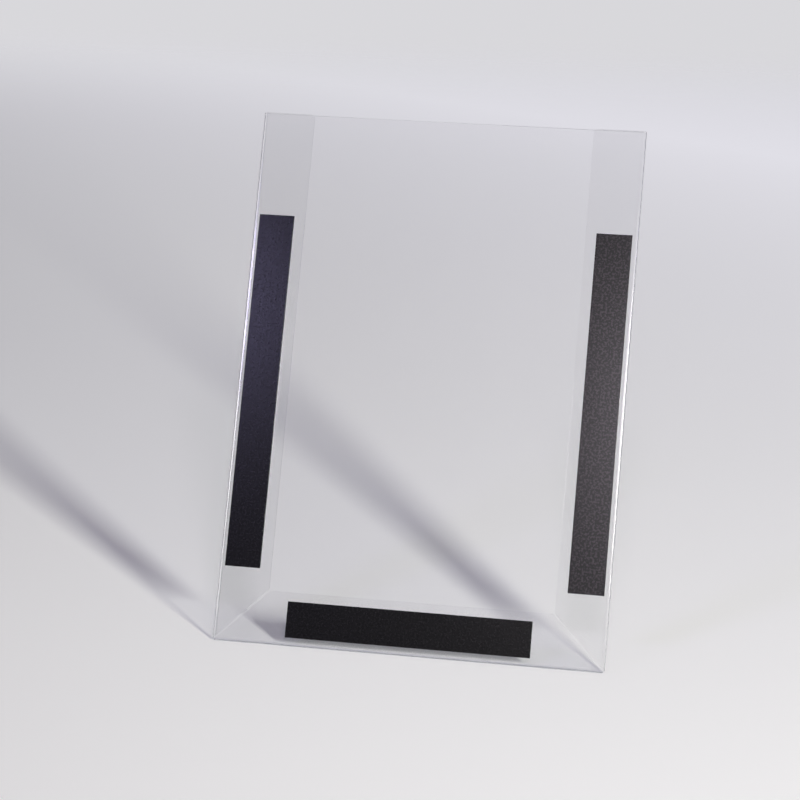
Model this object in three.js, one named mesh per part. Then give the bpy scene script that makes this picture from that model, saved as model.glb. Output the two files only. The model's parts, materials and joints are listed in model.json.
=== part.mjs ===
// Magnetic display pocket for one sheet of paper, in millimetres, with +Z up.
// A clear plastic sheet has three flaps folded back along its sides and its bottom, and its top stays open.
// Each flap carries a magnetic rubber strip on a layer of adhesive tape.
// The strips' outer faces lie in the plane y = 0, against the steel, and the display side faces +Y.
// Left and right are as seen from the magnet side, with -X on the left.
// The origin is the centre of the bottom strip's outer face.
import * as THREE from 'three';

// The paper and the room around it
const PAPER_WIDTH = 210;
const PAPER_HEIGHT = 297;
const PAPER_SIDE_ROOM = 3.6;
const PAPER_TOP_COVER = 3.6;

// The clear sheet
const SHEET_THICKNESS = 0.4;
const SLOT_GAP = 1.6;
const FLAP_CORNER_RADIUS = 3;
const MITRE_GAP = 1;

// The magnetic strips and where they lie on their flaps
const STRIP_WIDTH = 20;
const STRIP_THICKNESS = 1;
const SIDE_STRIP_FOLD_INSET = 3.4;
const SIDE_STRIP_FREE_MARGIN = 6.1;
const SIDE_STRIP_FOOT_MARGIN = 12;
const SIDE_STRIP_HEAD_MARGIN = 59.5;
const BOTTOM_STRIP_FOLD_INSET = 4.6;
const BOTTOM_STRIP_END_MARGIN = 11.5;

// The adhesive tape, a little smaller all round than its strip
const TAPE_THICKNESS = 0.15;
const TAPE_INSET = 0.5;

// How finely the round stretches are drawn
const FOLD_STEPS = 12;
const CORNER_STEPS = 8;

// Overall sizes
const outerWidth = PAPER_WIDTH + 2 * (PAPER_SIDE_ROOM + SHEET_THICKNESS);
const outerHeight = PAPER_HEIGHT + PAPER_TOP_COVER + SHEET_THICKNESS;
const flapWidth = SIDE_STRIP_FOLD_INSET + STRIP_WIDTH + SIDE_STRIP_FREE_MARGIN;
const sideStripLength = outerHeight - flapWidth - SIDE_STRIP_FOOT_MARGIN - SIDE_STRIP_HEAD_MARGIN;
const bottomStripLength = outerWidth - 2 * (flapWidth + BOTTOM_STRIP_END_MARGIN);

// Each fold is a half round bend about an axis in the middle of the slot
const foldInnerRadius = SLOT_GAP / 2;
const foldOuterRadius = foldInnerRadius + SHEET_THICKNESS;
const foldX = outerWidth / 2 - foldOuterRadius;
const foldY = STRIP_THICKNESS + TAPE_THICKNESS + foldOuterRadius;
const bottomEdge = -(BOTTOM_STRIP_FOLD_INSET + STRIP_WIDTH / 2);
const foldZ = bottomEdge + foldOuterRadius;

// The flat part of the sheet, measured from the fold axes
const panelHeight = outerHeight - foldOuterRadius;
const flapReach = flapWidth - foldOuterRadius;
const cornerRadius = Math.min(FLAP_CORNER_RADIUS, flapReach);
// How far each flap stays back from the mitre line, along its own fold
const mitreSetback = MITRE_GAP * Math.SQRT1_2;

const sheetMaterial = new THREE.MeshStandardMaterial({
  color: 0xe9ecf0,
  roughness: 0.08,
  metalness: 0,
  transparent: true,
  opacity: 0.25,
});
const magnetMaterial = new THREE.MeshStandardMaterial({ color: 0x1e1a20, roughness: 0.6, metalness: 0 });
const tapeMaterial = new THREE.MeshStandardMaterial({ color: 0xd8d2c4, roughness: 0.5, metalness: 0 });

function namedMesh(name, geometry, material) {
  const mesh = new THREE.Mesh(geometry, material);
  mesh.name = name;
  return mesh;
}

// A flat piece of the sheet: an outline in x and z, whose thickness runs from its place towards the steel
function sheetPiece(outline) {
  const geometry = new THREE.ExtrudeGeometry(outline, {
    depth: SHEET_THICKNESS,
    bevelEnabled: false,
    curveSegments: CORNER_STEPS,
  });
  return geometry.rotateX(Math.PI / 2);
}

// The section of a fold: half a ring about its axis, on the left of it for side -1 and on the right for side 1
function foldSection(side) {
  const quarterTurn = Math.PI / 2;
  const section = new THREE.Shape();
  section.absarc(0, 0, foldOuterRadius, quarterTurn, -quarterTurn, side > 0);
  section.absarc(0, 0, foldInnerRadius, -quarterTurn, quarterTurn, side < 0);
  section.closePath();
  return section;
}

function foldPiece(side, length) {
  return new THREE.ExtrudeGeometry(foldSection(side), {
    depth: length,
    bevelEnabled: false,
    curveSegments: FOLD_STEPS,
  });
}

// The display face, a plain rectangle between the fold axes, open at its top
function frontPanel() {
  const outline = new THREE.Shape();
  outline.moveTo(-foldX, 0);
  outline.lineTo(foldX, 0);
  outline.lineTo(foldX, panelHeight);
  outline.lineTo(-foldX, panelHeight);
  outline.closePath();
  const panel = namedMesh('front_panel', sheetPiece(outline), sheetMaterial);
  panel.position.set(0, foldY + foldOuterRadius, foldZ);
  return panel;
}

// A side fold stands along the panel's edge
function sideFold(name, side) {
  const fold = namedMesh(name, foldPiece(side, panelHeight), sheetMaterial);
  fold.position.set(side * foldX, foldY, foldZ);
  return fold;
}

// The bottom fold lies along the panel's lower edge
function bottomFold() {
  const length = 2 * foldX;
  const geometry = foldPiece(1, length).rotateY(Math.PI / 2);
  const fold = namedMesh('bottom_fold', geometry, sheetMaterial);
  fold.position.set(-foldX, foldY, foldZ);
  return fold;
}

// A strip and its tape, stacked on a flap's outer face, with the strip's middle at x and z
function addStrip(flapGroup, name, width, height, x, z) {
  const tapeGeometry = new THREE.BoxGeometry(width - 2 * TAPE_INSET, TAPE_THICKNESS, height - 2 * TAPE_INSET);
  const tape = namedMesh(`${name}_adhesive_tape`, tapeGeometry, tapeMaterial);
  const tapeFace = -foldOuterRadius - TAPE_THICKNESS;
  tape.position.set(x, tapeFace + TAPE_THICKNESS / 2, z);
  const strip = namedMesh(
    `${name}_magnet_strip`,
    new THREE.BoxGeometry(width, STRIP_THICKNESS, height),
    magnetMaterial,
  );
  strip.position.set(x, tapeFace - STRIP_THICKNESS / 2, z);
  flapGroup.add(tape, strip);
}

// A side flap, drawn from its fold axis: mitred at the foot and rounded at its free top corner
function sideFlap(name, side) {
  const inward = -side;
  const outline = new THREE.Shape();
  outline.moveTo(0, mitreSetback);
  outline.lineTo(inward * flapReach, flapReach + mitreSetback);
  outline.lineTo(inward * flapReach, panelHeight - cornerRadius);
  outline.absarc(
    inward * (flapReach - cornerRadius),
    panelHeight - cornerRadius,
    cornerRadius,
    side < 0 ? 0 : Math.PI,
    Math.PI / 2,
    side > 0,
  );
  outline.lineTo(0, panelHeight);
  outline.closePath();

  const flap = namedMesh(`${name}_flap`, sheetPiece(outline), sheetMaterial);
  flap.position.y = -foldInnerRadius;
  const group = new THREE.Group();
  group.position.set(side * foldX, foldY, foldZ);
  group.add(flap);

  const stripX = SIDE_STRIP_FOLD_INSET + STRIP_WIDTH / 2 - foldOuterRadius;
  const stripFoot = flapWidth + SIDE_STRIP_FOOT_MARGIN - foldOuterRadius;
  addStrip(group, name, STRIP_WIDTH, sideStripLength, inward * stripX, stripFoot + sideStripLength / 2);
  return group;
}

// The bottom flap, drawn from its fold axis: mitred at both ends
function bottomFlap() {
  const foot = foldX - mitreSetback;
  const head = foot - flapReach;
  const outline = new THREE.Shape();
  outline.moveTo(-foot, 0);
  outline.lineTo(foot, 0);
  outline.lineTo(head, flapReach);
  outline.lineTo(-head, flapReach);
  outline.closePath();

  const flap = namedMesh('bottom_flap', sheetPiece(outline), sheetMaterial);
  flap.position.y = -foldInnerRadius;
  const group = new THREE.Group();
  group.position.set(0, foldY, foldZ);
  group.add(flap);

  const stripZ = BOTTOM_STRIP_FOLD_INSET + STRIP_WIDTH / 2 - foldOuterRadius;
  addStrip(group, 'bottom', bottomStripLength, STRIP_WIDTH, 0, stripZ);
  return group;
}

const pocket = new THREE.Group();
pocket.add(frontPanel(), sideFold('left_fold', -1), sideFold('right_fold', 1), bottomFold());
pocket.add(sideFlap('left', -1), sideFlap('right', 1), bottomFlap());

export default pocket;
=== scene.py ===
# Looks of the magnetic display pocket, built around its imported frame, in metres.
# The clear sheet is refractive plastic with rounded cut edges, and its folds are smooth bends that
# follow the flaps. The three magnetic strips are finely grained rubber on hazy adhesive tape.
import json
import math

import bmesh
import bpy
from mathutils import Matrix, Quaternion, Vector, noise


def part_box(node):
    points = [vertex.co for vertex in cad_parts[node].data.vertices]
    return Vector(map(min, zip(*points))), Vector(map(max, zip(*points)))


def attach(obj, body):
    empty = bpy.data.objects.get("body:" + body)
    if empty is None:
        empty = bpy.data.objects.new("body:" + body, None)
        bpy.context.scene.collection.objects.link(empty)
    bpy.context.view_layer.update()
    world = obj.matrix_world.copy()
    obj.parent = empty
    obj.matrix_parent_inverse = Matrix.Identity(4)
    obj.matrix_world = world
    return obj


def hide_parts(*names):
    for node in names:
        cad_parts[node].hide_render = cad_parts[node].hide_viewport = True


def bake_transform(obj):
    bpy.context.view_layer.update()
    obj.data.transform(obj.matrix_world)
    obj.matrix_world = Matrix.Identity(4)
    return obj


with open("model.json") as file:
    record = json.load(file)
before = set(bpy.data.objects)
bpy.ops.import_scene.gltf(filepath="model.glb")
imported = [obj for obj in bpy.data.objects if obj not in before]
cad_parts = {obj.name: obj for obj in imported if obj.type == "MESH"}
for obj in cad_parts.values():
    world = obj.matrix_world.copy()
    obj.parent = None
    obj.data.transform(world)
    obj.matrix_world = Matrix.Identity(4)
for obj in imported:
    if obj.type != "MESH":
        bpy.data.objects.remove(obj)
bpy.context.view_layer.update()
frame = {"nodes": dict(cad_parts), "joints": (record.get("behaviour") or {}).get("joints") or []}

panel_low, panel_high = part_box("front_panel")
sheet_thickness = panel_high.y - panel_low.y
joints = {joint["name"]: joint for joint in frame["joints"]}

MM = 0.001
X_AXIS = 0
Z_AXIS = 2

# The camera: the point it looks at, its direction and distance from there, its roll and its lens
CAMERA_AIM = Vector((-15.8, 0.0, 126.2)) * MM
CAMERA_AZIMUTH = math.radians(9.16)
CAMERA_ELEVATION = math.radians(-7.75)
CAMERA_ROLL = math.radians(5.2)
CAMERA_DISTANCE = 1333 * MM
CAMERA_LENS = 108.0
CAMERA_SENSOR = 36.0

# The pocket leans back on the floor, so the floor is tilted under the upright frame
LEAN = math.radians(20)
FLOOR_HALF_WIDTH = 6.0
FLOOR_SEGMENTS = 8
FLOOR_GAP = 0.05 * MM
FLOOR_COLOUR = (0.87, 0.87, 0.86, 1.0)
FLOOR_FADE = (2.8, 5.8)
BACKGROUND_COLOUR = (0.69, 0.685, 0.71, 1.0)

# The floor's glow under the pocket, what is added to it through the sheet, how it rises to the right
# and the back, and its limit. It also rises to its limit far to the left and on the way to the key
# lamp, since that lamp leaves the floor behind it dark.
FLOOR_GLOW_COLOUR = (0.945, 0.94, 1.03, 1.0)
FLOOR_GLOW = 0.172
FLOOR_GLOW_THROUGH = 0.018
FLOOR_GLOW_SLOPE = (0.15, 0.138, 0.0)
FLOOR_GLOW_LIMIT = 0.58
FLOOR_FAR_LEFT = (-0.11, -0.18)
FLOOR_TO_KEY = (0.53, -0.85, 0.0)
FLOOR_NEAR_KEY = (0.75, 1.05)

# Soft even light, and the dim room with a soft window that shiny surfaces mirror
AMBIENT_COLOUR = (0.95, 0.935, 1.0, 1.0)
AMBIENT_STRENGTH = 0.07
ROOM_COLOUR = (0.06, 0.06, 0.065, 1.0)
WINDOW_COLOUR = (0.38, 0.38, 0.39, 1.0)
WINDOW_DIRECTION = Vector((-0.03, -1.0, 0.10)).normalized()
WINDOW_SPREAD = (0.05, 0.20)
MIRROR_THRESHOLD = 0.5

# The lamps: a key lamp from the right that casts the shadows, a lamp above it that the glossy folds
# mirror, and two weak ones whose sheen shows on the strips
LIGHT_AIM = Vector((0.0, 0.0, 120.0)) * MM
KEY_COLOUR = (1.0, 1.0, 0.93)
KEY_LAMP = {
    "place": Vector((572, -914, 125)) * MM,
    "size": (105 * MM, 330 * MM),
    "power": 13.4,
    "colour": KEY_COLOUR,
}
FOLD_SHINE_LAMP = {
    "place": Vector((572, -914, 248)) * MM,
    "size": (105 * MM, 265 * MM),
    "power": 14.2,
    "colour": KEY_COLOUR,
}
RIGHT_SHEEN_LAMP = {
    "place": Vector((175, -996, 265)) * MM,
    "size": (110 * MM, 110 * MM),
    "power": 1.8,
    "colour": (1.0, 0.90, 1.0),
}
LEFT_SHEEN_LAMP = {
    "place": Vector((-455, -996, 366)) * MM,
    "size": (220 * MM, 140 * MM),
    "power": 1.22,
    "colour": (0.62, 0.56, 1.0),
}

# The clear sheet's finish: a faint cloudy tint and ripple, and shadows that deepen where light
# grazes it. The folds are softer, and their colour darkens where they are seen edge on: painted
# shade for a thin dark rim.
SHEET_TINT_LOW = (0.992, 0.991, 0.994, 1.0)
SHEET_TINT_HIGH = (1.0, 0.999, 1.0, 1.0)
SHEET_TINT_RANGE = (0.3, 0.7)
SHEET_TINT_SCALE = 14.0
SHEET_TINT_DETAIL = 3.0
SHEET_RIPPLE_SCALE = 26.0
SHEET_RIPPLE_STRENGTH = 0.02
SHEET_RIPPLE_DEPTH = 0.2 * MM
SHEET_IOR = 1.53
FACING_BLEND = 0.25
PAINTED_RIM_FACING = (0.05, 0.24)
SHADOW_FACING = (0.35, 0.95)
FLAT_LOOK = {
    "ior": SHEET_IOR,
    "roughness": 0.02,
    "coat": 0.0,
    "coat_roughness": 0.03,
    "painted_rim_shade": None,
    "shadows": ((0.95, 0.953, 0.962, 1.0), (0.35, 0.36, 0.40, 1.0)),
}
# The bends' rim colour is painted shade, darker where a bend is seen edge on
BEND_LOOK = {
    "ior": 1.12,
    "roughness": 0.1,
    "coat": 0.7,
    "coat_roughness": 0.15,
    "painted_rim_shade": (0.82, 0.82, 0.83, 1.0),
    "shadows": ((0.72, 0.73, 0.76, 1.0), (0.25, 0.26, 0.30, 1.0)),
}

# The cut edges: slightly rounded, and frosted by the die at the mitres and along the bottom flap
EDGE_ROUND = 0.04 * MM
EDGE_STEPS = 4
EDGE_PROFILE = 0.5
FROSTED_SLOT = 1
FROSTED_SLOPE = 0.3
FROSTED_LOW = (0.52, 0.52, 0.53, 1.0)
FROSTED_HIGH = (0.64, 0.64, 0.65, 1.0)
FROSTED_RANGE = (0.35, 0.65)
FROSTED_SCALE = 900.0
FROSTED_ROUGHNESS = 0.55
FROSTED_BUMP = 0.3
FROSTED_DEPTH = 0.03 * MM

# How finely the bends are drawn
FOLD_ARC_STEPS = 28
FOLD_LENGTH_STEP = 10 * MM

# Each bend goes on into its flap for a short flat leg, which starts with almost nothing at a mitre
BEND_LEG = 0.8 * MM
BEND_LEG_LEAST = 0.02 * MM

# The strips' section, with slightly uneven edges
STRIP_EDGE_ROUND = 0.14 * MM
STRIP_LEAST_ROUND = 0.01 * MM
STRIP_EDGE_STEPS = 4
STRIP_STATION = 2.5 * MM
STRIP_UNEVEN = 0.04 * MM
STRIP_UNEVEN_SCALE = 0.35 / MM
STRIP_UNEVEN_SLICE = 7.0
STRIP_FLAT = 0.999

# The strips' finish: speckles, a soft mottle and fine lines along the strip.
# Only the right strip gets light specks in its colour: painted glints, where its grain catches the
# light.
SPECKLE_SCALE = 780.0
SPECKLE_DETAIL = 3.0
SPECKLE_ROUGHNESS = 0.65
MOTTLE_SCALE = 60.0
MOTTLE_DETAIL = 3.0
MOTTLE_RANGE = (0.3, 0.7)
LINE_SCALE_ALONG = 30.0
LINE_SCALE_ACROSS = 2600.0
LINE_DETAIL = 1.0
RUBBER_LOW = (0.0010, 0.0008, 0.0011, 1.0)
RUBBER_HIGH = (0.0016, 0.0013, 0.0017, 1.0)
SMOOTH_GRAIN = {
    "speckle": (0.35, 0.65),
    "roughness": (0.22, 0.29),
    "bump": 0.3,
    "speck_and_glint_colour": (0.0020, 0.0017, 0.0021, 1.0),
}
# The right strip's look: its light specks are painted glints, where its grain catches the light
PAINTED_GLINT_GRAIN = {
    "speckle": (0.49, 0.72),
    "roughness": (0.28, 0.27),
    "bump": 0.15,
    "speck_and_glint_colour": (0.062, 0.052, 0.064, 1.0),
}
RUBBER_BUMP_DEPTH = 0.08 * MM
RUBBER_IOR = 1.52
RUBBER_SPECULAR = 0.36

# The adhesive tape: hazy over the dark strip, with small trapped air specks
TAPE_SPECK_SCALE = 420.0
TAPE_HAZE_SCALE = 90.0
TAPE_HAZE_DETAIL = 4.0
TAPE_RANGE = (0.02, 0.10, 0.45)
TAPE_COLOURS = (
    (0.13, 0.125, 0.12, 1.0),
    (0.035, 0.032, 0.034, 1.0),
    (0.022, 0.020, 0.022, 1.0),
)
TAPE_ROUGHNESS = 0.32
TAPE_IOR = 1.47

# What counts as the same point, the same place, flat and sharp in the meshes
WELD = 0.001 * MM
NEAR = 10 * WELD
FLAT_NORMAL = 1 - 1e-6
FLAT_ANGLE = math.radians(0.5)
SHARP_ANGLE = math.radians(40)

# The sockets of a Mix node that mixes colours, and where a ramp's third colour starts
MIX_FACTOR = 0
MIX_FIRST = 6
MIX_SECOND = 7
MIX_RESULT = 2
RAMP_MIDDLE = 0.5


def new_piece(name, bm, materials):
    """A mesh object made from bm, with these materials in its slots."""
    mesh = bpy.data.meshes.new(name)
    bm.to_mesh(mesh)
    bm.free()
    piece = bpy.data.objects.new(name, mesh)
    bpy.context.scene.collection.objects.link(piece)
    for material in materials:
        mesh.materials.append(material)
    return piece


def new_material(name):
    """An empty node material: its tree and its output node."""
    material = bpy.data.materials.new(name)
    material.use_nodes = True
    tree = material.node_tree
    tree.nodes.clear()
    output = tree.nodes.new("ShaderNodeOutputMaterial")
    return material, tree, output


def add_node(tree, kind, links=None, **settings):
    """A new node with its properties set, and its inputs set to values or linked to sockets."""
    node = tree.nodes.new(kind)
    for key, value in settings.items():
        setattr(node, key, value)
    for key, value in (links or {}).items():
        if isinstance(value, bpy.types.NodeSocket):
            tree.links.new(value, node.inputs[key])
        else:
            node.inputs[key].default_value = value
    return node


def math_value(tree, operation, *values):
    """The result of a Math node."""
    node = add_node(tree, "ShaderNodeMath", dict(enumerate(values)), operation=operation)
    return node.outputs[0]


def map_range(tree, value, start, end, low=0.0, high=1.0, interpolation="LINEAR"):
    """A value carried over from the range between start and end to that between low and high."""
    node = add_node(
        tree,
        "ShaderNodeMapRange",
        {"Value": value, "From Min": start, "From Max": end, "To Min": low, "To Max": high},
        interpolation_type=interpolation,
    )
    return node.outputs["Result"]


def noise_texture(tree, vector, scale, detail=2.0, roughness=0.5):
    """A noise's value at these coordinates."""
    node = add_node(
        tree,
        "ShaderNodeTexNoise",
        {"Vector": vector, "Scale": scale, "Detail": detail, "Roughness": roughness},
    )
    return node.outputs["Fac"]


def colour_ramp(tree, value, places, colours):
    """Colours between these, each at its place. A third one starts in the middle of the ramp."""
    node = add_node(tree, "ShaderNodeValToRGB", {"Fac": value})
    ramp = node.color_ramp
    while len(ramp.elements) < len(places):
        ramp.elements.new(RAMP_MIDDLE)
    for element, place, colour in zip(ramp.elements, places, colours):
        element.position = place
        element.color = colour
    return node.outputs["Color"]


def bump_normal(tree, height, strength, depth):
    """The normal of a surface with this relief."""
    node = add_node(
        tree, "ShaderNodeBump", {"Strength": strength, "Distance": depth, "Height": height}
    )
    return node.outputs["Normal"]


def mix_shaders(tree, factor, first, second):
    """The first shader where the factor is 0, and the second where it is 1."""
    return add_node(tree, "ShaderNodeMixShader", {0: factor, 1: first, 2: second}).outputs[0]


def object_coordinates(tree):
    """Coordinates on the piece itself, in metres."""
    return add_node(tree, "ShaderNodeTexCoord").outputs["Object"]


def clear_sheet_material(name, ior, roughness, coat, coat_roughness, painted_rim_shade, shadows):
    """Glossy clear plastic. Its shadows have two colours: face on and edge on.
    A rim colour, where given, darkens it where it is seen edge on: painted shade.
    """
    material, tree, output = new_material(name)
    place = object_coordinates(tree)
    facing = add_node(tree, "ShaderNodeLayerWeight", {"Blend": FACING_BLEND}).outputs["Facing"]
    # Painted shade: the colour darkens where the surface is seen edge on
    if painted_rim_shade:
        colour = colour_ramp(tree, facing, PAINTED_RIM_FACING, (SHEET_TINT_HIGH, painted_rim_shade))
    else:
        cloud = noise_texture(tree, place, SHEET_TINT_SCALE, SHEET_TINT_DETAIL)
        colour = colour_ramp(tree, cloud, SHEET_TINT_RANGE, (SHEET_TINT_LOW, SHEET_TINT_HIGH))
    ripple = noise_texture(tree, place, SHEET_RIPPLE_SCALE)
    glass = add_node(
        tree,
        "ShaderNodeBsdfPrincipled",
        {
            "Base Color": colour,
            "Roughness": roughness,
            "IOR": ior,
            "Transmission Weight": 1.0,
            "Coat Weight": coat,
            "Coat Roughness": coat_roughness,
            "Coat IOR": SHEET_IOR,
            "Normal": bump_normal(tree, ripple, SHEET_RIPPLE_STRENGTH, SHEET_RIPPLE_DEPTH),
        },
    )
    shade = colour_ramp(tree, facing, SHADOW_FACING, shadows)
    passing = add_node(tree, "ShaderNodeBsdfTransparent", {"Color": shade}).outputs[0]
    path = add_node(tree, "ShaderNodeLightPath")
    for_bounces = mix_shaders(tree, path.outputs["Is Diffuse Ray"], glass.outputs[0], passing)
    for_lamps = mix_shaders(tree, path.outputs["Is Shadow Ray"], for_bounces, passing)
    tree.links.new(for_lamps, output.inputs["Surface"])
    return material


def cut_edge_material():
    """A die-cut plastic edge, pale and frosted with a fine tooth."""
    material, tree, output = new_material("clear_sheet_cut_edge")
    tooth = noise_texture(tree, object_coordinates(tree), FROSTED_SCALE)
    edge = add_node(
        tree,
        "ShaderNodeBsdfPrincipled",
        {
            "Base Color": colour_ramp(tree, tooth, FROSTED_RANGE, (FROSTED_LOW, FROSTED_HIGH)),
            "Roughness": FROSTED_ROUGHNESS,
            "IOR": SHEET_IOR,
            "Normal": bump_normal(tree, tooth, FROSTED_BUMP, FROSTED_DEPTH),
        },
    )
    tree.links.new(edge.outputs[0], output.inputs["Surface"])
    return material


def magnet_rubber_material(name, along, look):
    """Near-black magnetic rubber with a speckled grain and faint lines along the strip.
    Its specks are painted glints where the look gives them a light colour.
    """
    material, tree, output = new_material(name)
    place = object_coordinates(tree)
    speckle = noise_texture(tree, place, SPECKLE_SCALE, SPECKLE_DETAIL, SPECKLE_ROUGHNESS)
    mottle = noise_texture(tree, place, MOTTLE_SCALE, MOTTLE_DETAIL)
    line_scales = [LINE_SCALE_ACROSS] * 3
    line_scales[along] = LINE_SCALE_ALONG
    stretched = add_node(
        tree, "ShaderNodeVectorMath", {0: place, 1: line_scales}, operation="MULTIPLY"
    )
    lines = noise_texture(tree, stretched.outputs[0], scale=1.0, detail=LINE_DETAIL)
    ground = colour_ramp(tree, mottle, MOTTLE_RANGE, (RUBBER_LOW, RUBBER_HIGH))
    # Specks in the colour: painted glints where the look makes them light. They also set the
    # roughness.
    speck_and_glint_mask = map_range(tree, speckle, *look["speckle"])
    colour = add_node(
        tree,
        "ShaderNodeMix",
        {MIX_FACTOR: speck_and_glint_mask, MIX_FIRST: ground, MIX_SECOND: look["speck_and_glint_colour"]},
        data_type="RGBA",
    )
    grain = math_value(tree, "ADD", speckle, lines)
    rubber = add_node(
        tree,
        "ShaderNodeBsdfPrincipled",
        {
            "Base Color": colour.outputs[MIX_RESULT],
            "Roughness": map_range(tree, speck_and_glint_mask, 0.0, 1.0, *look["roughness"]),
            "IOR": RUBBER_IOR,
            "Specular IOR Level": RUBBER_SPECULAR,
            "Normal": bump_normal(tree, grain, look["bump"], RUBBER_BUMP_DEPTH),
        },
    )
    tree.links.new(rubber.outputs[0], output.inputs["Surface"])
    return material


def adhesive_tape_material():
    """Hazy adhesive with small trapped air specks, over the dark strip."""
    material, tree, output = new_material("adhesive_tape")
    place = object_coordinates(tree)
    specks = add_node(tree, "ShaderNodeTexVoronoi", {"Vector": place, "Scale": TAPE_SPECK_SCALE})
    haze = noise_texture(tree, place, TAPE_HAZE_SCALE, TAPE_HAZE_DETAIL)
    mixed = math_value(tree, "MULTIPLY", specks.outputs["Distance"], haze)
    tape = add_node(
        tree,
        "ShaderNodeBsdfPrincipled",
        {
            "Base Color": colour_ramp(tree, mixed, TAPE_RANGE, TAPE_COLOURS),
            "Roughness": TAPE_ROUGHNESS,
            "IOR": TAPE_IOR,
        },
    )
    tree.links.new(tape.outputs[0], output.inputs["Surface"])
    return material


def floor_ramp(tree, place, direction, start, end):
    """A glow from none at start to its limit at end, as measured along a direction."""
    measure = add_node(
        tree, "ShaderNodeVectorMath", {0: place, 1: direction}, operation="DOT_PRODUCT"
    )
    return map_range(tree, measure.outputs["Value"], start, end, 0.0, FLOOR_GLOW_LIMIT)


def floor_glow(tree, place):
    """How strongly the floor glows at a place."""
    slope_ends = (-FLOOR_GLOW, FLOOR_GLOW_LIMIT - FLOOR_GLOW)
    sloping = floor_ramp(tree, place, FLOOR_GLOW_SLOPE, *slope_ends)
    far_left = floor_ramp(tree, place, FLOOR_GLOW_SLOPE, *FLOOR_FAR_LEFT)
    near_key = floor_ramp(tree, place, FLOOR_TO_KEY, *FLOOR_NEAR_KEY)
    return math_value(tree, "MAXIMUM", sloping, math_value(tree, "MAXIMUM", far_left, near_key))


def floor_material():
    """Pale matt floor that fades into the background far away and is open from below.
    It glows where it is seen, also in a mirror, and a little more through the sheet."""
    material, tree, output = new_material("floor")
    place = object_coordinates(tree)
    path = add_node(tree, "ShaderNodeLightPath")
    through = path.outputs["Is Transmission Ray"]
    seen = math_value(tree, "MAXIMUM", path.outputs["Is Camera Ray"], through)
    seen_or_mirrored = math_value(tree, "MAXIMUM", seen, path.outputs["Is Glossy Ray"])
    level = math_value(
        tree, "MULTIPLY_ADD", through, FLOOR_GLOW_THROUGH, floor_glow(tree, place)
    )
    glow = add_node(
        tree,
        "ShaderNodeEmission",
        {
            "Color": FLOOR_GLOW_COLOUR,
            "Strength": math_value(tree, "MULTIPLY", seen_or_mirrored, level),
        },
    )
    matt = add_node(tree, "ShaderNodeBsdfDiffuse", {"Color": FLOOR_COLOUR})
    lit = add_node(tree, "ShaderNodeAddShader", {0: matt.outputs[0], 1: glow.outputs[0]})
    reach = add_node(tree, "ShaderNodeVectorMath", {0: place}, operation="LENGTH")
    fade = map_range(tree, reach.outputs["Value"], *FLOOR_FADE, interpolation="SMOOTHSTEP")
    below = add_node(tree, "ShaderNodeNewGeometry").outputs["Backfacing"]
    opening = math_value(tree, "MAXIMUM", fade, below)
    clear = add_node(tree, "ShaderNodeBsdfTransparent")
    surface = mix_shaders(tree, opening, lit.outputs[0], clear.outputs[0])
    tree.links.new(surface, output.inputs["Surface"])
    return material


def other_axis(axis):
    """The other one of the sheet's two axes, X and Z."""
    return X_AXIS + Z_AXIS - axis


def even_places(first, last, step):
    """Evenly spaced places from first to last, about a step apart."""
    steps = max(1, round((last - first) / step))
    return [first + (last - first) * k / steps for k in range(steps + 1)]


def apart(places):
    """These places in order, without those that are almost the same as the one before."""
    kept = []
    for place in sorted(places):
        if not kept or place - kept[-1] > NEAR:
            kept.append(place)
    return kept


def join_rings(bm, rings):
    """Smooth faces from each ring of vertices to the next."""
    for first, second in zip(rings, rings[1:]):
        count = len(first)
        for i in range(count):
            j = (i + 1) % count
            bm.faces.new((first[i], first[j], second[j], second[i])).smooth = True


def fold_edge(edge, axis, place):
    """True if an edge lies where the sheet goes on into a fold: at this place along this axis."""
    return all(abs(v.co[axis] - place) < NEAR for v in edge.verts)


def draw_back(bm, axis, place, distance):
    """Moves the edge at this place along this axis inwards, along the cut edges that meet it."""
    for vert in bm.verts:
        if abs(vert.co[axis] - place) > NEAR:
            continue
        ways = [edge.other_vert(vert).co - vert.co for edge in vert.link_edges]
        inward = max(ways, key=lambda way: abs(way[axis]))
        vert.co += inward * (distance / abs(inward[axis]))


def round_cut_edges(bm, fold_places):
    """Rounds the rims of a flat sheet, apart from those at the folds."""
    rim = [
        edge
        for edge in bm.edges
        if len({round(v.co.y / WELD) for v in edge.verts}) == 1
        and not any(fold_edge(edge, axis, place) for axis, place in fold_places)
    ]
    bmesh.ops.bevel(
        bm,
        geom=rim,
        offset=EDGE_ROUND,
        segments=EDGE_STEPS,
        profile=EDGE_PROFILE,
        affect="EDGES",
        clamp_overlap=True,
    )
    bmesh.ops.recalc_face_normals(bm, faces=bm.faces)


def shade_sheet(bm, frosted):
    """Flat shading on a sheet's broad faces, and smooth shading round its edges, some frosted."""
    for face in bm.faces:
        face.smooth = abs(face.normal.y) < FLAT_NORMAL
        if face.smooth and frosted * face.normal.z > FROSTED_SLOPE * abs(face.normal.x):
            face.material_index = FROSTED_SLOT
    for edge in bm.edges:
        edge.smooth = all(face.smooth for face in edge.link_faces)


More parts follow.
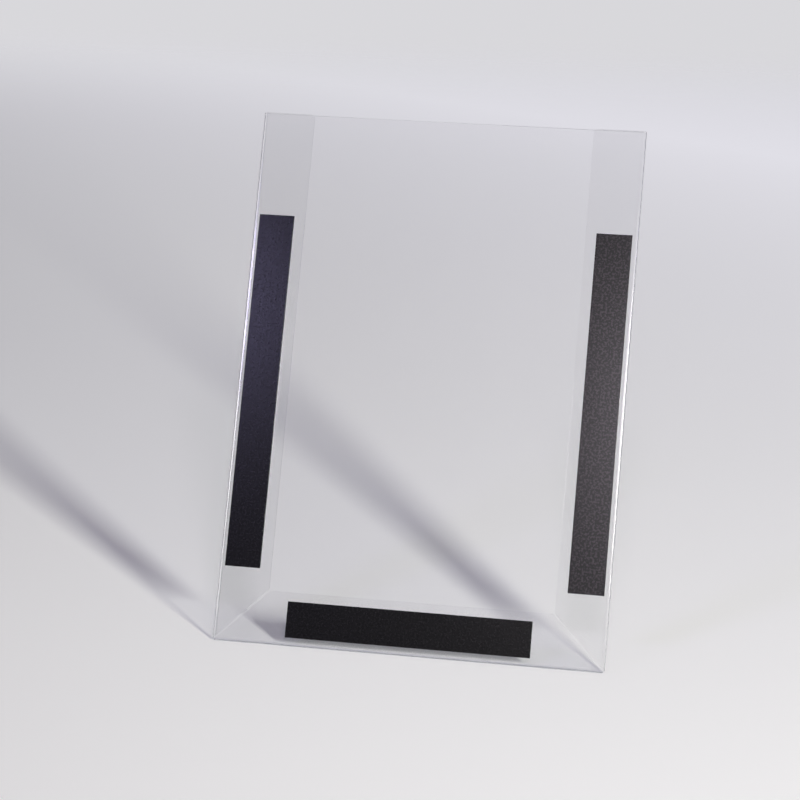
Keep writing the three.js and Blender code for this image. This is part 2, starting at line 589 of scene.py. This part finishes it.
def sheet_copy(name, node, fold_places, materials, leg=0.0, frosted=0):
    """The flat sheet piece of a node, with its cut edges rounded and those at the folds left square.
    Where a bend has a flat leg, the edge at the fold is drawn back by that much.
    The cut edges that face down are frosted for -1, those that face up for 1, and none for 0."""
    bm = bmesh.new()
    bm.from_mesh(frame["nodes"][node].data)
    bmesh.ops.remove_doubles(bm, verts=bm.verts, dist=WELD)
    bmesh.ops.dissolve_limit(bm, angle_limit=FLAT_ANGLE, verts=bm.verts, edges=bm.edges)
    if leg:
        axis, place = fold_places[0]
        middle = sum(vert.co[axis] for vert in bm.verts) / len(bm.verts)
        draw_back(bm, axis, place, leg)
        fold_places = [(axis, place + math.copysign(leg, middle - place))]
    round_cut_edges(bm, fold_places)
    shade_sheet(bm, frosted)
    piece = new_piece(name, bm, materials)
    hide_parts(node)
    return piece


def flap_reach(node, axis, place, along):
    """Where a flap's edge at its fold starts and ends."""
    verts = frame["nodes"][node].data.vertices
    reach = [vert.co[along] for vert in verts if abs(vert.co[axis] - place) < NEAR]
    return min(reach), max(reach)


def bend_section(outer, inner, leg, outward):
    """Points round a bend's section: outside from the panel to the leg's end, then back inside."""
    angles = [math.pi * i / FOLD_ARC_STEPS for i in range(FOLD_ARC_STEPS + 1)]
    arc = [Vector((0.0, math.cos(angle), 0.0)) + outward * math.sin(angle) for angle in angles]
    section = [outer * point for point in arc]
    section += [outer * arc[-1] - leg * outward, inner * arc[-1] - leg * outward]
    section += [inner * point for point in reversed(arc)]
    return section


def close_bend(bm, ring):
    """Flat faces across a bend's end, between its outside and its inside."""
    for i in range(FOLD_ARC_STEPS + 1):
        opposite = len(ring) - 1 - i
        bm.faces.new((ring[i], ring[i + 1], ring[opposite - 1], ring[opposite]))


def fold_bend(name, node, joint, outward, along, mitred_ends, material):
    """A smooth half round bend about its joint's axis, with a flat leg on its flap's side.
    The leg narrows towards the mitred ends: 0 is the flap's first end, and 1 its last."""
    low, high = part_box(node)
    pivot = Vector(joint["pos_m"])
    outer = (high.y - low.y) / 2
    inner = outer - sheet_thickness
    across = other_axis(along)
    flap_first, flap_last = flap_reach(joint["child"], across, pivot[across], along)
    places = even_places(low[along], high[along], FOLD_LENGTH_STEP)
    places += [flap_first, flap_first + BEND_LEG, flap_last - BEND_LEG, flap_last]
    bm = bmesh.new()
    rings = []
    for place in apart(places):
        middle = Vector(pivot)
        middle[along] = place
        from_ends = (place - flap_first, flap_last - place)
        leg = min([BEND_LEG] + [max(BEND_LEG_LEAST, from_ends[end]) for end in mitred_ends])
        section = bend_section(outer, inner, leg, outward)
        rings.append([bm.verts.new(middle + point) for point in section])
    join_rings(bm, rings)
    close_bend(bm, rings[0])
    close_bend(bm, rings[-1])
    bmesh.ops.recalc_face_normals(bm, faces=bm.faces)
    for edge in bm.edges:
        edge.smooth = edge.calc_face_angle(0.0) < SHARP_ANGLE
    piece = new_piece(name, bm, [material])
    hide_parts(node)
    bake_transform(piece)


def strip_stations(first, last):
    """Places along a strip, with how far its section is drawn in there to round its ends."""
    places = even_places(first, last, STRIP_STATION)
    turn = [math.pi / 2 * k / STRIP_EDGE_STEPS for k in range(STRIP_EDGE_STEPS + 1)]
    rise = [STRIP_EDGE_ROUND * (1 - math.sin(angle)) for angle in turn]
    insets = [STRIP_EDGE_ROUND * (1 - math.cos(angle)) for angle in turn]
    foot = [(places[0] + step, inset) for step, inset in zip(rise, insets)]
    head = [(places[0] + places[-1] - place, inset) for place, inset in foot]
    return foot[::-1] + [(place, 0.0) for place in places[1:-1]] + head


def rounded_section(half_wide, half_thick, inset):
    """Points round a strip's section, with rounded corners, drawn in by inset."""
    points = []
    radius = max(STRIP_EDGE_ROUND - inset, STRIP_LEAST_ROUND)
    for corner in range(4):
        side_u = 1 if corner in (0, 3) else -1
        side_v = 1 if corner in (0, 1) else -1
        for step in range(STRIP_EDGE_STEPS + 1):
            angle = math.pi / 2 * (corner + step / STRIP_EDGE_STEPS)
            u = side_u * (half_wide - inset - radius) + radius * math.cos(angle)
            v = side_v * (half_thick - inset - radius) + radius * math.sin(angle)
            points.append((u, v))
    return points


def strip_piece(name, node, body, along, material):
    """A cut length of magnetic rubber, with a rounded section and slightly uneven edges."""
    low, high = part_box(node)
    middle = (low + high) / 2
    across = other_axis(along)
    half_wide = (high[across] - low[across]) / 2
    half_thick = (high.y - low.y) / 2
    bm = bmesh.new()
    rings = []
    for place, inset in strip_stations(low[along], high[along]):
        ring = []
        for u, v in rounded_section(half_wide, half_thick, inset):
            point = Vector(middle)
            point[along] = place
            spot = Vector((place, u, STRIP_UNEVEN_SLICE)) * STRIP_UNEVEN_SCALE
            uneven = STRIP_UNEVEN * noise.noise(spot)
            point[across] += u - math.copysign(abs(uneven), u)
            point.y += v
            ring.append(bm.verts.new(point))
        rings.append(ring)
    join_rings(bm, rings)
    bm.faces.new(rings[0])
    bm.faces.new(rings[-1])
    bmesh.ops.recalc_face_normals(bm, faces=bm.faces)
    flat = {face for face in bm.faces if max(abs(n) for n in face.normal) > STRIP_FLAT}
    for edge in bm.edges:
        edge.smooth = len(flat.intersection(edge.link_faces)) != 1
    piece = new_piece(name, bm, [material])
    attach(piece, body)
    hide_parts(node)


def set_camera():
    """A level camera aimed at the pocket, then rolled as the photo's view is."""
    camera = bpy.data.objects.new("camera", bpy.data.cameras.new("camera"))
    camera.data.lens = CAMERA_LENS
    camera.data.sensor_width = CAMERA_SENSOR
    back = Vector(
        (
            math.sin(CAMERA_AZIMUTH) * math.cos(CAMERA_ELEVATION),
            -math.cos(CAMERA_AZIMUTH) * math.cos(CAMERA_ELEVATION),
            math.sin(CAMERA_ELEVATION),
        )
    )
    camera.location = CAMERA_AIM + back * CAMERA_DISTANCE
    camera.rotation_mode = "QUATERNION"
    roll = Quaternion((0.0, 0.0, 1.0), CAMERA_ROLL)
    camera.rotation_quaternion = (-back).to_track_quat("-Z", "Y") @ roll
    bpy.context.scene.collection.objects.link(camera)
    bpy.context.scene.camera = camera


def add_lamp(name, place, size, power, colour):
    """A soft lamp aimed at the pocket, unseen by the camera and as strong far off as near it."""
    data = bpy.data.lights.new(name, "AREA")
    data.shape = "RECTANGLE"
    data.size, data.size_y = size
    data.energy = power
    data.color = colour
    lamp = bpy.data.objects.new(name, data)
    lamp.location = place
    lamp.rotation_mode = "QUATERNION"
    lamp.rotation_quaternion = (LIGHT_AIM - place).to_track_quat("-Z", "Y")
    lamp.visible_camera = False
    data.use_nodes = True
    tree = data.node_tree
    tree.nodes.clear()
    strength = 1.0 / (LIGHT_AIM - place).length_squared
    even = add_node(tree, "ShaderNodeLightFalloff", {"Strength": strength})
    emission = add_node(tree, "ShaderNodeEmission", {"Strength": even.outputs["Constant"]})
    output = add_node(tree, "ShaderNodeOutputLight")
    tree.links.new(emission.outputs[0], output.inputs["Surface"])
    bpy.context.scene.collection.objects.link(lamp)
    return lamp


def add_lamps():
    """The lamps. The key lamp gives no shine, and the one above it gives nothing but shine."""
    key_lamp = add_lamp("key_lamp", **KEY_LAMP)
    key_lamp.visible_glossy = False
    key_lamp.visible_transmission = False
    fold_shine_lamp = add_lamp("fold_shine_lamp", **FOLD_SHINE_LAMP)
    fold_shine_lamp.visible_diffuse = False
    add_lamp("right_sheen_lamp", **RIGHT_SHEEN_LAMP)
    add_lamp("left_sheen_lamp", **LEFT_SHEEN_LAMP)


def room_colour(tree):
    """The dim room, brighter towards its soft window."""
    direction = add_node(tree, "ShaderNodeTexCoord").outputs["Generated"]
    away = add_node(
        tree,
        "ShaderNodeVectorMath",
        {0: direction, 1: tuple(WINDOW_DIRECTION)},
        operation="DISTANCE",
    )
    in_window = map_range(
        tree, away.outputs["Value"], *WINDOW_SPREAD, low=1.0, high=0.0, interpolation="SMOOTHSTEP"
    )
    return colour_ramp(tree, in_window, (0.0, 1.0), (ROOM_COLOUR, WINDOW_COLOUR))


def background(tree, colour, strength=1.0):
    """A world of this colour."""
    node = add_node(tree, "ShaderNodeBackground", {"Color": colour, "Strength": strength})
    return node.outputs[0]


def set_world():
    """Soft even light, with a pale background where the camera looks past the floor, also through
    the sheet, and the dim room where something mirrors it."""
    world = bpy.data.worlds.new("studio")
    bpy.context.scene.world = world
    world.use_nodes = True
    tree = world.node_tree
    tree.nodes.clear()
    path = add_node(tree, "ShaderNodeLightPath")
    mirrors = math_value(tree, "GREATER_THAN", path.outputs["Glossy Depth"], MIRROR_THRESHOLD)
    straight = math_value(tree, "SUBTRACT", path.outputs["Is Transmission Ray"], mirrors)
    seen = math_value(tree, "MAXIMUM", path.outputs["Is Camera Ray"], straight)
    ambient = background(tree, AMBIENT_COLOUR, AMBIENT_STRENGTH)
    room = background(tree, room_colour(tree))
    backdrop = background(tree, BACKGROUND_COLOUR)
    unseen = mix_shaders(tree, mirrors, ambient, room)
    surface = mix_shaders(tree, seen, unseen, backdrop)
    output = add_node(tree, "ShaderNodeOutputWorld")
    tree.links.new(surface, output.inputs["Surface"])


def add_floor():
    """The tilted floor, through the lowest line of the bottom fold."""
    low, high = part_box("bottom_fold")
    radius = (high.y - low.y) / 2
    up = Vector((0.0, -math.sin(LEAN), math.cos(LEAN)))
    axis_point = Vector((0.0, (low.y + high.y) / 2, low.z + radius))
    bm = bmesh.new()
    bmesh.ops.create_grid(
        bm, x_segments=FLOOR_SEGMENTS, y_segments=FLOOR_SEGMENTS, size=FLOOR_HALF_WIDTH
    )
    floor = new_piece("floor", bm, [floor_material()])
    shift = Matrix.Translation(axis_point - up * (radius + FLOOR_GAP))
    floor.matrix_world = shift @ Matrix.Rotation(LEAN, 4, "X")


bpy.context.scene.view_settings.view_transform = "Standard"
set_camera()
set_world()
add_lamps()
add_floor()

# The clear sheet: its panel, and the bends and flaps at its sides and its bottom
clear_sheet = clear_sheet_material("clear_sheet", **FLAT_LOOK)
clear_bend = clear_sheet_material("clear_sheet_bend", **BEND_LOOK)
cut_edge = cut_edge_material()
panel_folds = [(X_AXIS, panel_low.x), (X_AXIS, panel_high.x), (Z_AXIS, panel_low.z)]
panel = sheet_copy("panel_sheet", "front_panel", panel_folds, [clear_sheet])
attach(panel, "front_panel")

for side, sign in (("left", -1), ("right", 1)):
    joint = joints[f"{side}_fold_hinge"]
    outward = Vector((sign, 0.0, 0.0))
    fold_bend(f"{side}_bend", f"{side}_fold", joint, outward, Z_AXIS, (0,), clear_bend)
    flap = sheet_copy(
        f"{side}_flap_sheet",
        f"{side}_flap",
        [(X_AXIS, joint["pos_m"][X_AXIS])],
        [clear_sheet, cut_edge],
        leg=BEND_LEG,
        frosted=-1,
    )
    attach(flap, f"{side}_flap")

joint = joints["bottom_fold_hinge"]
outward = Vector((0.0, 0.0, -1.0))
fold_bend("bottom_bend", "bottom_fold", joint, outward, X_AXIS, (0, 1), clear_bend)
flap = sheet_copy(
    "bottom_flap_sheet",
    "bottom_flap",
    [(Z_AXIS, joint["pos_m"][Z_AXIS])],
    [clear_sheet, cut_edge],
    leg=BEND_LEG,
    frosted=1,
)
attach(flap, "bottom_flap")

# The strips and their tapes
adhesive_tape = adhesive_tape_material()
# The right strip's look paints glints into its colour
for side, along, look in (
    ("left", Z_AXIS, SMOOTH_GRAIN),
    ("right", Z_AXIS, PAINTED_GLINT_GRAIN),
    ("bottom", X_AXIS, SMOOTH_GRAIN),
):
    rubber = magnet_rubber_material(f"{side}_magnet_rubber", along, look)
    strip_piece(f"{side}_strip_rubber", f"{side}_magnet_strip", f"{side}_flap", along, rubber)
    tape = frame["nodes"][f"{side}_adhesive_tape"]
    tape.data.materials.clear()
    tape.data.materials.append(adhesive_tape)
